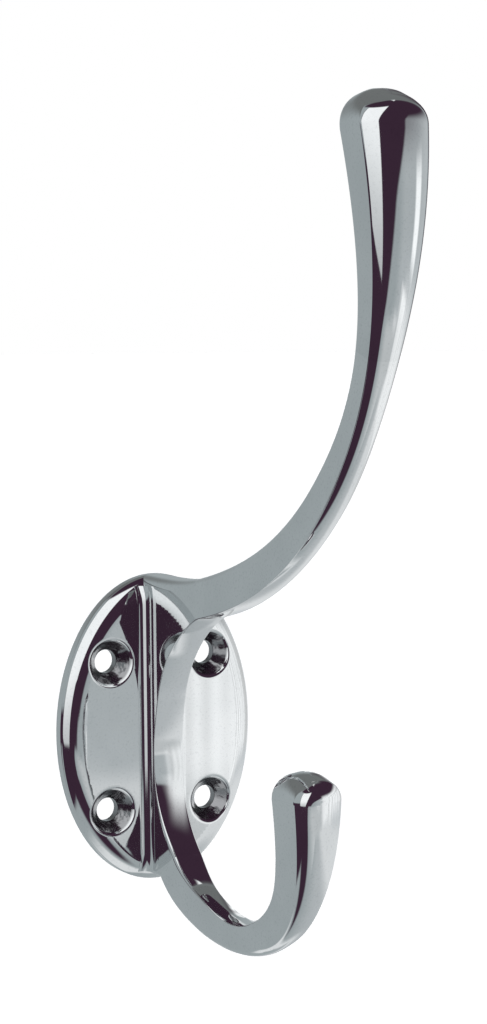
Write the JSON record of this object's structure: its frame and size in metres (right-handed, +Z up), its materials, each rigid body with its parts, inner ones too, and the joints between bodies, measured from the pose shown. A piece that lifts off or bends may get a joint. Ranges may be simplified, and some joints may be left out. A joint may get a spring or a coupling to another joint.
{
  "type": "hat and coat hook",
  "caption": "Polished chrome wall hook with an oval screw plate, a tall curved hat arm with a flared tip above and a small upturned coat hook below.",
  "frame": {"origin": "on the wall plane at the plate's flat back, at the middle of the four screw holes", "axes": "+Z up; -Y out of the wall toward the user; +X across the plate, to the right seen from the front"},
  "size_m": [0.0346, 0.073, 0.1293],
  "materials": {
    "chrome_casting": "polished"
  },
  "bodies": {
    "root": {"backplate": "chrome_casting", "spine": "chrome_casting", "hat_arm": "chrome_casting", "hat_arm_tip": "chrome_casting", "coat_hook": "chrome_casting", "coat_hook_tip": "chrome_casting"}
  },
  "joints": []
}
